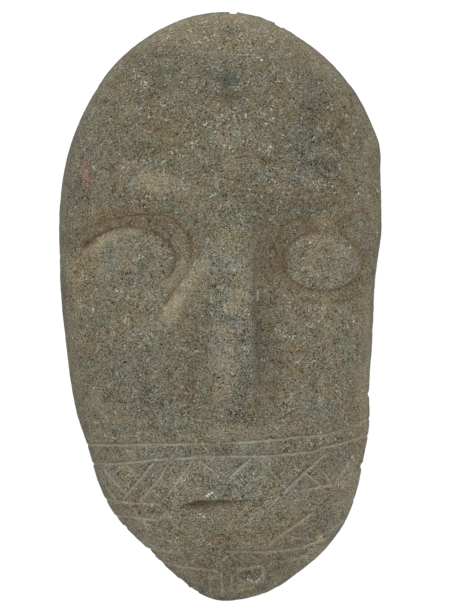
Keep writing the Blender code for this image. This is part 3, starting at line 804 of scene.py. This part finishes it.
# %% Bare the blue-grey grains
lay_patches("cool", {
    "nose blue": (0.9, -0.005, 0.13, 0.06, 0.04),
    "nose blue below": (0.9, 0.03, -0.055, 0.09, 0.022),
    "band between the lines": (0.45, -0.05, -0.5, 0.75, 0.05),
    "left lower cheek": (0.25, -0.45, -0.28, 0.35, 0.12),
    "dimple": (0.85, 0.01, 0.76, 0.07, 0.04),
    "jaw": (0.4, -0.05, -0.585, 0.8, 0.1),
    "nose blue line": (0.8, -0.02, -0.133, 0.05, 0.012),
    "forehead": (0.5, -0.08, 0.48, 0.068, 0.109),
    "right of the dimple": (0.6, 0.223, 0.762, 0.056, 0.044),
    "nose root": (0.5, 0.149, 0.15, 0.093, 0.082),
    "nose": (0.4, -0.037, -0.133, 0.124, 0.17),
    "right temple": (0.6, 0.798, 0.429, 0.068, 0.031),
    "right brow": (0.5, 0.439, 0.429, 0.087, 0.031),
    "right eye": (0.7, 0.433, 0.156, 0.05, 0.048),
    "right lower cheek": (0.6, 0.569, -0.354, 0.149, 0.061),
    "right over the lines": (0.5, 0.396, -0.439, 0.074, 0.041),
    "left over the lines": (0.5, -0.625, -0.429, 0.074, 0.041),
    "under the nose": (0.3, -0.006, -0.429, 0.111, 0.024),
    "under the mouth": (0.5, -0.124, -0.745, 0.05, 0.024),
    "right under the mouth": (0.5, 0.179, -0.728, 0.099, 0.034),
    "left over the mouth": (0.6, -0.223, -0.541, 0.056, 0.054),
    "left eye, upper": (0.6, -0.569, 0.204, 0.056, 0.024),
    "left eye, left": (0.6, -0.718, 0.156, 0.056, 0.02),
    "nose tip": (0.5, 0.09, -0.27, 0.09, 0.12),
    "left brow's upper spot": (0.9, -0.569, 0.435, 0.037, 0.014),
    "left brow's lower spot": (0.9, -0.563, 0.398, 0.043, 0.014),
    "left brow's outer spot": (0.9, -0.718, 0.473, 0.043, 0.014),
    "left brow's inner spot": (0.8, -0.297, 0.405, 0.056, 0.017),
    "right brow's spot": (0.9, 0.439, 0.415, 0.05, 0.014),
    "right over the mouth": (0.4, 0.365, -0.541, 0.111, 0.031),
    "right of the mouth": (0.8, 0.594, -0.643, 0.056, 0.024),
    "between the brows": (0.6, 0.223, 0.435, 0.124, 0.027),
    "inner end of the left brow": (0.6, -0.204, 0.286, 0.074, 0.041),
    "right cheek": (0.6, 0.507, -0.259, 0.124, 0.027),
})

# %% Weather the warm places
lay_patches("warm", {
    "left forehead": (0.8, -0.347, 0.599, 0.173, 0.075),
    "far right of the forehead": (0.8, 0.693, 0.639, 0.111, 0.109),
    "high on the right edge": (0.8, 0.897, 0.531, 0.05, 0.061),
    "right edge": (0.7, 0.92, 0.32, 0.05, 0.16),
    "low on the right edge": (0.6, 0.829, -0.32, 0.062, 0.204),
    "left end of the left brow": (0.7, -0.749, 0.299, 0.198, 0.075),
    "beside the nose": (0.6, 0.285, -0.065, 0.056, 0.051),
    "left end of the band": (0.6, -0.613, -0.565, 0.056, 0.051),
    "left under the mouth": (0.6, -0.297, -0.755, 0.05, 0.031),
    "over the mouth's right end": (0.6, 0.26, -0.616, 0.087, 0.041),
    "chin's right edge": (0.7, 0.334, -0.949, 0.074, 0.031),
    "left cheek": (0.5, -0.811, -0.109, 0.087, 0.068),
    "low on the forehead": (0.7, -0.377, 0.524, 0.149, 0.031),
    "right edge of the cheek": (0.7, 0.866, 0.02, 0.05, 0.136),
    "right edge over the lines": (0.6, 0.817, -0.456, 0.062, 0.075),
    "beside the nose's tip": (0.5, -0.359, -0.238, 0.161, 0.034),
    "chin": (0.4, 0.223, -0.871, 0.186, 0.048),
    "left side of the face": (0.5, -0.87, 0.08, 0.13, 0.2),
})

# %% Add the odd tints and the stronger grain
lay_patches("red", {
    "left temple spot": (0.85, -0.857, 0.443, 0.032, 0.055),
})
lay_patches("ochre", {
    "right brow": (0.14, 0.61, 0.289, 0.028, 0.018),
    "crumb under the right eye": (0.25, 0.625, 0.01, 0.037, 0.014),
})
lay_patches("coarse", {
    "nose": (0.18, 0.01, -0.12, 0.14, 0.3),
    "nose tip": (1.0, 0.095, -0.368, 0.085, 0.034),
})
lay_patches("glint", {
    "forehead": (0.9, 0.0, 0.66, 1.05, 0.42),
    "right cheek": (0.4, 0.62, -0.2, 0.35, 0.3),
})

# %% Paint the bright arcs and draw the tan line
# Two arcs of painted highlight, in the crust's tan, lie along the left eye's ring, and a tan line runs down
# the right side of the forehead
HIGHLIGHT_ARCS = (
    Line(0.6, ((-0.87, 0.185), (-0.8, 0.208), (-0.754, 0.224), (-0.69, 0.243), (-0.61, 0.256),
               (-0.54, 0.262))),
    Line(0.55, ((-0.3, 0.252), (-0.262, 0.205), (-0.258, 0.163), (-0.287, 0.12), (-0.34, 0.088),
                (-0.44, 0.065))),
)
HIGHLIGHT_ARC_WIDTH = 0.0085
for arc in HIGHLIGHT_ARCS:
    away, _ = distance_from_line(arc.points, x, y)
    lay("crust_and_highlight", arc.strength * band(away, HIGHLIGHT_ARC_WIDTH))
TAN_LINE = Line(0.65, ((0.6, 0.66), (0.69, 0.59), (0.745, 0.53), (0.76, 0.46), (0.79, 0.4)))
TAN_LINE_WIDTH = 0.0022
away, _ = distance_from_line(TAN_LINE.points, cut_x, cut_y)
lay("crust_and_highlight", TAN_LINE.strength * band(away, TAN_LINE_WIDTH))

# %% Paint shade on the sides and light and a film on the crown
SIDE_SHADE = 0.6
RIGHT_SHADE = 0.22
RIM_SHADE = 0.8
CROWN_FILM_AND_LIGHT = 0.35
CROWN_EDGE = (0.6, 0.88)
crown = smooth_step(*CROWN_EDGE, y / HALF_LENGTH)
side_shade = SIDE_SHADE + (RIGHT_SHADE - SIDE_SHADE) * smooth_step(-0.3, 0.5, x / HALF_WIDTH)
# Painted shade darkens the sides as they turn away, more on the left, with a dark painted contour at the
# outline, and the crown's turning rim gets a tan film with painted light.
lay("shade_and_dirt", side_shade * (1 - crown) * fade(0.1, 0.7, facing))
lay("shade_and_dirt", RIM_SHADE * fade(0.05, 0.3, facing))
lay("crust_and_highlight", CROWN_FILM_AND_LIGHT * crown * fade(0.35, 0.7, facing) * cuts_reach)

# %% [markdown]
# ## Chips and odd grains
# A shallow flake is missing from the crown, a few nicks show on the outline, and a yellow pebble sits in the
# stone near the right of the chin. They are scooped and raised by distance from their place, like the rest.

# %% Knock off the flakes and nicks
# Each chip has a place (u, v), a radius and a depth
CHIPS = (
    (0.199, 0.995, 0.013, 0.0003), (0.045, 0.998, 0.0025, 0.0012), (0.33, 0.956, 0.003, 0.0008),
    (0.943, 0.595, 0.0025, 0.001), (0.854, -0.544, 0.0025, 0.0009), (0.904, -0.299, 0.0028, 0.0009),
    (-0.611, -0.745, 0.0022, 0.0005), (-0.457, -0.835, 0.0035, 0.0005), (-0.258, -0.937, 0.004, 0.0005),
    (-0.195, -0.965, 0.0032, 0.0005),
)


def away_from_place(u, v):
    """Distance of each point from one place, as the camera sees it."""
    return np.hypot(x - u * HALF_WIDTH, y - v * HALF_LENGTH)


at_edge = fade(0.35, 0.75, np.abs(facing))
for u, v, radius, depth in CHIPS:
    relief -= depth * fade(0.75, 1.0, away_from_place(u, v) / radius) * at_edge
print(f"{len(CHIPS)} chips")

# %% Raise the pebble and prick the pits
PEBBLE = Oval(0.573, -0.782, 0.026, 0.0135)
PEBBLE_HEIGHT = 0.0009
PEBBLE_TINT = 0.64
PITS = (
    (-0.533, -0.7007, 0.0011), (0.6, -0.765, 0.0009), (0.142, -0.908, 0.003), (-0.13, 0.45, 0.001),
    (0.07, -0.358, 0.0009), (0.09, -0.372, 0.001), (0.112, -0.362, 0.0009), (0.08, -0.386, 0.0009),
)
PIT_DEPTH = 0.0011
PIT_SHADE = 1.4
in_pebble = oval_reach(PEBBLE)
relief += PEBBLE_HEIGHT * fade(0.5, 1.1, in_pebble) * cuts_reach
lay("ochre", PEBBLE_TINT * fade(0.6, 1.1, in_pebble) * cuts_reach)
# Each pit is pressed in and darkened with painted shade.
for u, v, radius in PITS:
    pit = fade(0.3, 1.0, away_from_place(u, v) / radius) * cuts_reach
    relief -= PIT_DEPTH * pit
    lay("shade_and_dirt", PIT_SHADE * pit)

# %% Dot the whitest grains
WHITE_SPECKS = (
    (0.272, 0.534), (0.523, 0.214), (-0.114, -0.635), (-0.102, -0.629), (-0.084, -0.624), (0.135, -0.925),
    (0.155, -0.932), (0.19, -0.935), (0.204, -0.926),
)
SPECK_RADIUS = 0.0008
WHITE_MARK = Line(0.45, ((0.193, 0.051), (0.193, 0.02)))
for u, v in WHITE_SPECKS:
    away = away_from_place(u, v)
    lay("white", fade(0.5, 1.2, away / SPECK_RADIUS))
    keep_fine(away < 2 * SPECK_RADIUS)
away, _ = distance_from_line(WHITE_MARK.points, cut_x, cut_y)
lay("white", WHITE_MARK.strength * fade(0.5, 1.2, away / SPECK_RADIUS))
keep_fine(away < 2 * SPECK_RADIUS)

# %% [markdown]
# ## The skin of the stone
# The carver dressed the face by pecking: each blow of a hammerstone left a shallow pit. Water and weather
# then softened them. Cells of a Voronoi pattern stand for the blows, each with a depth of its own, and finer
# noise stands for the grains that stick out. Grain finer than the mesh comes from the material's bump.

# %% Peck the surface
PECK_SPACING = 0.0042
PECK_DEPTH = 0.00022
GRAIN_HEIGHTS = ((0.00022, 0.011), (0.00016, 0.0045), (0.00012, 0.0021))
GRAIN_SEED = 23.9


def peck(place):
    """Depth of the nearest blow at a place, from 0 to 1."""
    distances, blows = noise.voronoi(place)
    return max(0.0, 1 - 2 * distances[0]) * (0.5 + 0.5 * noise.cell(blows[0] * 7))


pecked = np.array([peck(place) for place in (boulder / PECK_SPACING).tolist()])
relief -= PECK_DEPTH * pecked
for height, length in GRAIN_HEIGHTS:
    relief += height * random_height(boulder, length, GRAIN_SEED)
print(f"Pecked to {1000 * PECK_DEPTH * pecked.max():.2f} mm")

# %% Move the stone's surface
write_points(stone.data, boulder + normals * relief[:, None])

# %% Keep the masks on the mesh
for name, values in masks.items():
    attribute = stone.data.attributes.new(name, "FLOAT", "POINT")
    attribute.data.foreach_set("value", np.clip(values, 0.0, 1.0))

# %% [markdown]
# ## A lighter mesh and a flat to lie on
# About one and a half million triangles are more than the stone needs. Decimate joins those that hardly bend
# the surface, so the smooth back gives up more than the carved face. It only works where a vertex group says
# so, and the points near the cuts stay out of that group, so every line keeps its edges, its dust and its
# painted highlight. Then a plane cuts the small flat that the stone lies on, and the stone is set down on it.

# %% Thin the mesh
KEPT_TRIANGLES = 197000
plain = stone.vertex_groups.new(name="plain")
plain.add(np.flatnonzero(~kept_fine).tolist(), 1.0, "REPLACE")
stone.data.calc_loop_triangles()
kept_share = KEPT_TRIANGLES / len(stone.data.loop_triangles)
apply_modifier(stone, "DECIMATE", ratio=kept_share, vertex_group=plain.name, use_collapse_triangulate=True)
stone.vertex_groups.clear()
print(f"{np.mean(kept_fine):.0%} of the points are kept fine, and {len(stone.data.polygons)} faces are left")

# %% Cut the flat and set the stone down
REST_CUT = 0.003
rest_height = read_points(stone.data)[:, 2].min() + REST_CUT
bpy.ops.object.mode_set(mode="EDIT")
bpy.ops.mesh.select_all(action="SELECT")
bpy.ops.mesh.bisect(
    plane_co=(0, 0, rest_height), plane_no=(0, 0, -1), use_fill=True, clear_outer=True, threshold=0.00001)
bpy.ops.mesh.select_all(action="SELECT")
bpy.ops.transform.translate(value=(0, 0, -rest_height))
bpy.ops.object.mode_set(mode="OBJECT")
bpy.ops.object.shade_smooth()
print("The stone measures", [round(side, 4) for side in stone.dimensions])

# %% [markdown]
# ## The stone's finish
# A brown-grey stone of coarse grains. Its speckle is neutral: grains are darker or lighter, but hardly differ
# in hue. Slower changes of tint run over it, warm where it is weathered and blue-grey where the grains lie
# bare. An image texture of a real stone would be quick, but a pattern of noise has no seams and follows the
# object wherever it goes. It is built in layers: grain, tint, then the masks of dust, stain, wear and dirt,
# and the painted light and shade that some of them carry.

# %% Helpers for nodes
finish = bpy.data.materials.new("weathered_stone")
finish.use_nodes = True
nodes, links = finish.node_tree.nodes, finish.node_tree.links
shader = nodes["Principled BSDF"]
place = nodes.new("ShaderNodeTexCoord").outputs["Object"]


def put(value, socket):
    """Gives a socket a value, or links another node's output to it."""
    if isinstance(value, bpy.types.NodeSocket):
        links.new(value, socket)
    else:
        socket.default_value = value


def maths(operation, *values):
    """One sum, with its operation and its values."""
    node = nodes.new("ShaderNodeMath")
    node.operation = operation
    for value, socket in zip(values, node.inputs):
        put(value, socket)
    return node.outputs[0]


def blended(share, first, second, way="MIX"):
    """Two colours mixed by a share from 0 to 1."""
    node = nodes.new("ShaderNodeMix")
    node.data_type = "RGBA"
    node.blend_type = way
    put(share, node.inputs[0])
    put(first, node.inputs[6])
    put(second, node.inputs[7])
    return node.outputs[2]


def cloudy(length, detail=2.0, roughness=0.5, seed=0.0):
    """Smooth noise with bumps about this length across, from 0 to 1 round a middle of 0.5."""
    node = nodes.new("ShaderNodeTexNoise")
    node.noise_dimensions = "4D"
    put(place, node.inputs["Vector"])
    node.inputs["W"].default_value = seed
    node.inputs["Scale"].default_value = 1 / length
    node.inputs["Detail"].default_value = detail
    node.inputs["Roughness"].default_value = roughness
    return node.outputs[0]


def grains(length, channel=0):
    """Separate grains about this length across, each with a tone of its own from 0 to 1."""
    node = nodes.new("ShaderNodeTexVoronoi")
    put(place, node.inputs["Vector"])
    node.inputs["Scale"].default_value = 1 / length
    parts = nodes.new("ShaderNodeSeparateColor")
    links.new(node.outputs["Color"], parts.inputs[0])
    return parts.outputs[channel]


def mask(name):
    """One of the masks that the mesh carries."""
    node = nodes.new("ShaderNodeAttribute")
    node.attribute_name = name
    return node.outputs["Fac"]


def ramp(value, low_end, high_end):
    """0 below the low end, 1 above the high end, and a smooth rise between them."""
    node = nodes.new("ShaderNodeMapRange")
    node.interpolation_type = "SMOOTHSTEP"
    put(value, node.inputs["Value"])
    node.inputs["From Min"].default_value = low_end
    node.inputs["From Max"].default_value = high_end
    return node.outputs[0]


# %% Tint of the stone
WARM_STONE = (0.181, 0.151, 0.093, 1.0)
COOL_STONE = (0.15, 0.144, 0.1055, 1.0)
ROSY = (1.035, 0.975, 1.01, 1.0)
MOSSY = (0.965, 1.025, 0.985, 1.0)
tint_field = blended(0.5, cloudy(0.006, 3.0, 0.6), cloudy(0.03, 3.0, 0.6))
tint = blended(ramp(tint_field, 0.38, 0.6), WARM_STONE, COOL_STONE)
hue = blended(ramp(cloudy(0.007, 3.0, 0.65, seed=3.1), 0.36, 0.64), ROSY, MOSSY)
tint = blended(1.0, tint, hue, "MULTIPLY")

# %% Speckle of the grains
GRAIN_LAYERS = (
    (grains(0.00052), 1.32),
    (cloudy(0.0012), 0.5),
    (cloudy(0.0036), 0.62),
    (cloudy(0.009), 0.62),
    (cloudy(0.025), 0.5),
)
WHITE_GRAINS = ((0.00068, 0.11), (0.0012, 0.03))
WHITE_GAIN = 1.5
PLAIN_GLINT, GLINT_GAIN = 0.85, 0.6
BLACK_GRAIN = 0.001
BLACK_LOSS = 0.5
speckle = 0.0
for layer, strength in GRAIN_LAYERS:
    centred = maths("SUBTRACT", layer, 0.5)
    speckle = maths("MULTIPLY_ADD", centred, strength, speckle)
shine = maths("MULTIPLY_ADD", mask("glint"), GLINT_GAIN, PLAIN_GLINT)
clusters = maths("MULTIPLY", ramp(cloudy(0.006), 0.4, 0.66), shine)
for size, share in WHITE_GRAINS:
    white_grains = maths("MULTIPLY", ramp(grains(size), 1 - share, 1.02 - share), clusters)
    speckle = maths("MULTIPLY_ADD", white_grains, WHITE_GAIN, speckle)
speckle = maths("MULTIPLY_ADD", ramp(grains(BLACK_GRAIN), 0.05, 0.02), -BLACK_LOSS, speckle)
FILLED_BY = {"stain": 0.35, "crust_and_highlight": 0.12, "dust_and_highlight": 0.3}
COARSE_GAIN = 0.8
shown = 1.0
for name, share in FILLED_BY.items():
    shown = maths("MULTIPLY_ADD", mask(name), -share, shown)
shown = maths("MULTIPLY_ADD", mask("coarse"), COARSE_GAIN, shown)
speckle = maths("MULTIPLY", speckle, shown)

# %% Masks over the tint
# The dust colours also stand for the painted highlight on the walls of the cuts that face the light.
DUST_AND_HIGHLIGHT = (0.35, 0.315, 0.226, 1.0)
GREY_DUST_AND_HIGHLIGHT = (0.338, 0.322, 0.245, 1.0)
STAIN = (0.168, 0.118, 0.064, 1.0)
# The crust colour also stands for the painted highlight on the brows, the crown rim and the cheek fold.
CRUST_AND_HIGHLIGHT = (0.3, 0.252, 0.165, 1.0)
BARE = (0.138, 0.152, 0.131, 1.0)
EARTH = (0.2, 0.156, 0.083, 1.0)
OCHRE = (0.46, 0.36, 0.15, 1.0)
RED = (0.33, 0.145, 0.092, 1.0)
PALE_GAIN = 0.3
DARK_LOSS = 0.4
WHITE = (0.55, 0.53, 0.46, 1.0)
broken = ramp(cloudy(0.003, 3.0, 0.7), 0.3, 0.62)
ragged = maths("MULTIPLY_ADD", ramp(cloudy(0.005, 4.0, 0.7), 0.32, 0.64), 0.75, 0.3)
crumbled = maths("MULTIPLY_ADD", broken, 0.35, 0.65)
dust_and_highlight_tint = blended(ramp(mask("cool"), 0.05, 0.35), DUST_AND_HIGHLIGHT, GREY_DUST_AND_HIGHLIGHT)
LAYERS = (
    ("cool", broken, BARE), ("warm", broken, EARTH), ("stain", ragged, STAIN), ("crust_and_highlight", ragged, CRUST_AND_HIGHLIGHT),
    ("dust_and_highlight", crumbled, dust_and_highlight_tint), ("red", broken, RED), ("ochre", 1.0, OCHRE), ("white", 1.0, WHITE),
)
colour = tint
for name, pattern, layer in LAYERS:
    colour = blended(maths("MULTIPLY", mask(name), pattern), colour, layer)
# Painted shade and dirt darken the colour, and wear and painted light make it paler.
shade = maths("MULTIPLY_ADD", mask("shade_and_dirt"), -DARK_LOSS, 1.0)
shade = maths("MULTIPLY_ADD", mask("wear_and_light"), PALE_GAIN, shade)

# %% Colour of the grains
GRAIN_TINT = (0.176, 0.167, 0.135)
DARKEST = (0.012, 0.011, 0.009)
YELLOW_TO_BLUE = (0.012, 0.0, -0.022)
MINERAL_GRAIN = 0.00075


def colour_maths(operation, first, second):
    """One sum of a colour and a second one or, for SCALE, of a colour and a number."""
    node = nodes.new("ShaderNodeVectorMath")
    node.operation = operation
    put(first, node.inputs[0])
    put(second, node.inputs["Scale" if operation == "SCALE" else 1])
    return node.outputs[0]


grain = colour_maths("SCALE", GRAIN_TINT, maths("MULTIPLY", speckle, shade))
speckled = colour_maths("ADD", colour_maths("SCALE", colour, shade), grain)
mineral = colour_maths("SCALE", YELLOW_TO_BLUE, maths("SUBTRACT", grains(MINERAL_GRAIN, channel=1), 0.5))
put(colour_maths("MAXIMUM", colour_maths("ADD", speckled, mineral), DARKEST), shader.inputs["Base Color"])

# %% Roughness and fine bump
STONE_VALUES = {"Roughness": 0.9, "Specular IOR Level": 0.25, "Metallic": 0.0}
BUMP_VALUES = {"Strength": 0.5, "Distance": 0.0003}
bump = nodes.new("ShaderNodeBump")
for node, values in ((shader, STONE_VALUES), (bump, BUMP_VALUES)):
    for name, value in values.items():
        put(value, node.inputs[name])
links.new(speckle, bump.inputs["Height"])
links.new(bump.outputs[0], shader.inputs["Normal"])
stone.data.materials.clear()
stone.data.materials.append(finish)
print("Finish has", len(nodes), "nodes")

# %% [markdown]
# ## Floor and light
# The stone lies on a table that glows a little, as a light table does, so hardly any shadow falls round it.
# One large soft light stands beyond the crown to the left, because the cut lines are dark on the side
# towards the crown and the nose is darker on its right flank. A pale sky fills the rest.

# %% Lay the floor
FLOOR_SIZE = 8.0
GREY = (0.25, 0.25, 0.25, 1.0)
WHITE_LIGHT = (1.0, 1.0, 1.0, 1.0)
PAPER_VALUES = {
    "Base Color": GREY, "Roughness": 0.9, "Emission Color": WHITE_LIGHT, "Emission Strength": 0.88,
}
bpy.ops.mesh.primitive_plane_add(size=FLOOR_SIZE)
floor = bpy.context.object
floor.name = "floor"
paper = bpy.data.materials.new("pale_table")
paper.use_nodes = True
paper_shader = paper.node_tree.nodes["Principled BSDF"]
for name, value in PAPER_VALUES.items():
    put(value, paper_shader.inputs[name])
floor.data.materials.append(paper)

# %% Set the light
LIGHT_PLACE = Vector((-0.35, 0.85, 1.95))
LIGHT_SIZE = 1.0
LIGHT_POWER = 10.0
SKY_STRENGTH = 0.76
lamp = bpy.data.objects.new("soft_light", bpy.data.lights.new("soft_light", "AREA"))
bpy.context.scene.collection.objects.link(lamp)
lamp.location = LIGHT_PLACE
lamp.rotation_mode = "QUATERNION"
lamp.rotation_quaternion = (-LIGHT_PLACE).to_track_quat("-Z", "Y")
lamp.data.size = LIGHT_SIZE
lamp.data.energy = LIGHT_POWER
lamp.visible_camera = False
sky = bpy.data.worlds.new("sky")
sky.use_nodes = True
sky.node_tree.nodes["Background"].inputs["Color"].default_value = WHITE_LIGHT
sky.node_tree.nodes["Background"].inputs["Strength"].default_value = SKY_STRENGTH
bpy.context.scene.world = sky
bpy.context.scene.view_settings.view_transform = "Standard"
bpy.context.scene.cycles.use_denoising = False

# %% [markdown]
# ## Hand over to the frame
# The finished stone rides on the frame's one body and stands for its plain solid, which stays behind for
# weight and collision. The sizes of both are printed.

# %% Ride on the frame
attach(stone, "root")
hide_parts("carved_stone")
